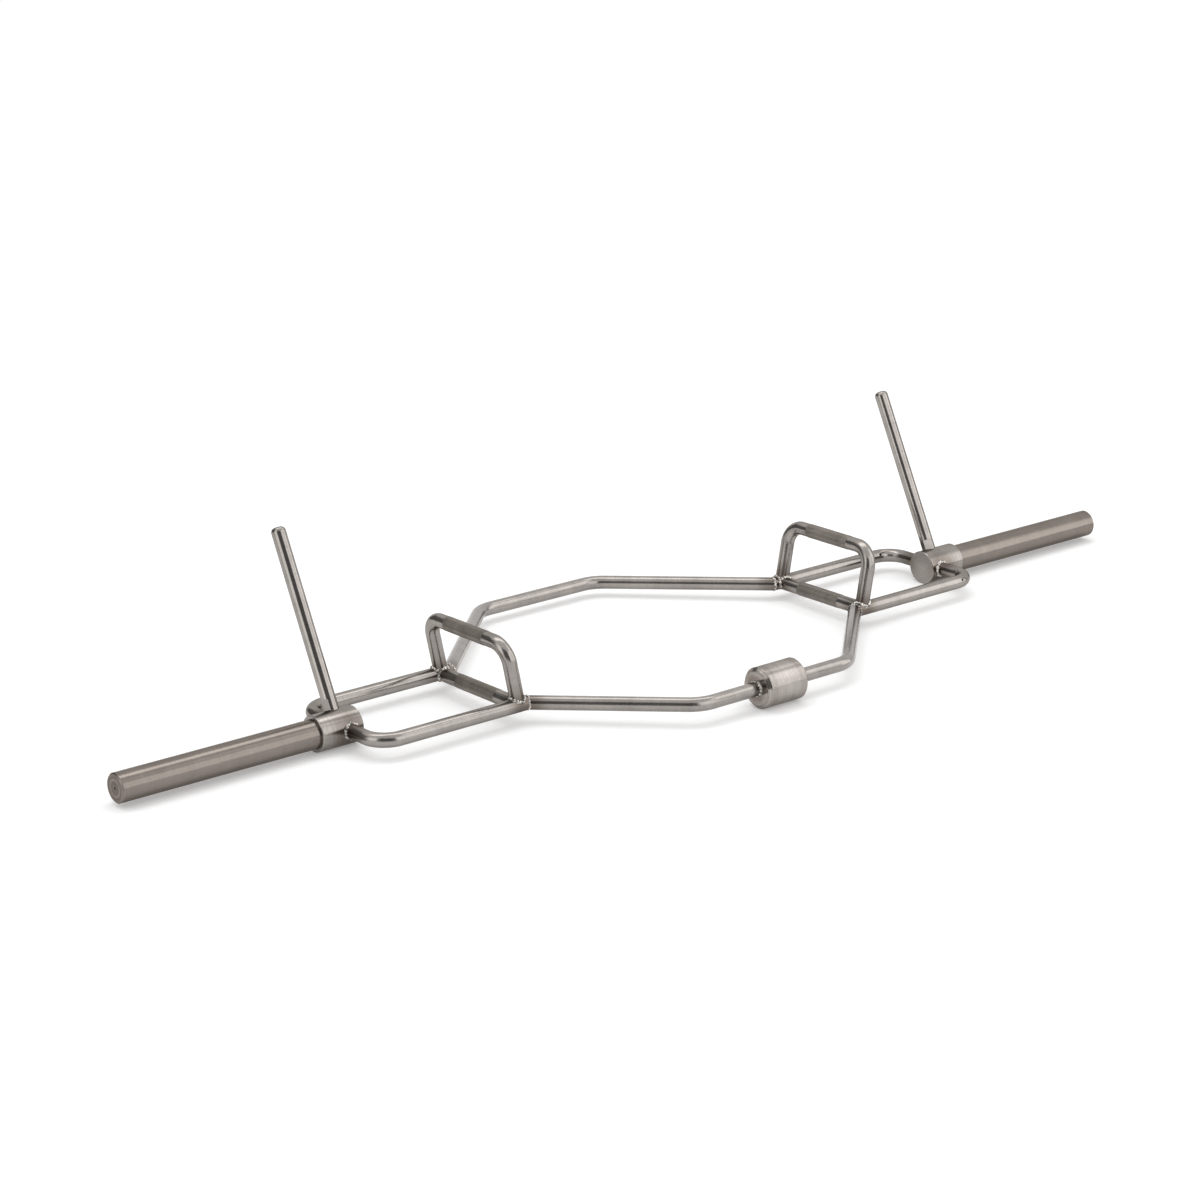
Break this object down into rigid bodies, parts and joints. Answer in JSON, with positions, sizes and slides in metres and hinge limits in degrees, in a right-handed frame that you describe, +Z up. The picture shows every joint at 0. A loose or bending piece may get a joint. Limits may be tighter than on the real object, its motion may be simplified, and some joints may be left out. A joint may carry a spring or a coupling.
{
  "type": "hex trap bar",
  "caption": "Trap bar: a welded hexagon of steel tube to stand inside, with low and raised knurled grips, plate sleeves, stop collars, a counterweight and screw-in levers.",
  "frame": {"origin": "middle of the bar's length and depth, on the floor that it rests on", "axes": "+X along the sleeves, -Y towards the counterweight, +Z up from the floor; the frame leans by 0.92 degrees about X because it rests on its collars and its fatter counterweight"},
  "size_m": [2.2, 0.7014, 0.3388],
  "materials": {
    "turned_steel": "lathe-turned, fine lines round the axis",
    "satin_tube": "satin, fine lines along the tube",
    "weld_steel": "bright rippled weld bead"
  },
  "bodies": {
    "frame": {"counterweight": "turned_steel", "counterweight_left_weld": "weld_steel", "counterweight_right_weld": "weld_steel", "front_hex_tube": "satin_tube", "left_collar": "turned_steel", "left_front_corner_weld": "weld_steel", "left_front_rail": "satin_tube", "left_front_rail_weld": "weld_steel", "left_high_handle": "satin_tube", "left_low_grip": "satin_tube", "left_rear_corner_weld": "weld_steel", "left_rear_rail": "satin_tube", "left_rear_rail_weld": "weld_steel", "left_sleeve": "turned_steel", "rear_hex_tube": "satin_tube", "right_collar": "turned_steel", "right_front_corner_weld": "weld_steel", "right_front_rail": "satin_tube", "right_front_rail_weld": "weld_steel", "right_high_handle": "satin_tube", "right_low_grip": "satin_tube", "right_rear_corner_weld": "weld_steel", "right_rear_rail": "satin_tube", "right_rear_rail_weld": "weld_steel", "right_sleeve": "turned_steel"},
    "lever_left": {"left_lever": "turned_steel"},
    "lever_right": {"right_lever": "turned_steel"}
  },
  "joints": [
    {"name": "left_lever_unscrew", "type": "slide", "parent": "frame", "child": "lever_left", "axis": [0, 0.4528, 0.8916], "range_m": [0, 0.018]},
    {"name": "right_lever_unscrew", "type": "slide", "parent": "frame", "child": "lever_right", "axis": [0, 0.4528, 0.8916], "range_m": [0, 0.018]}
  ]
}
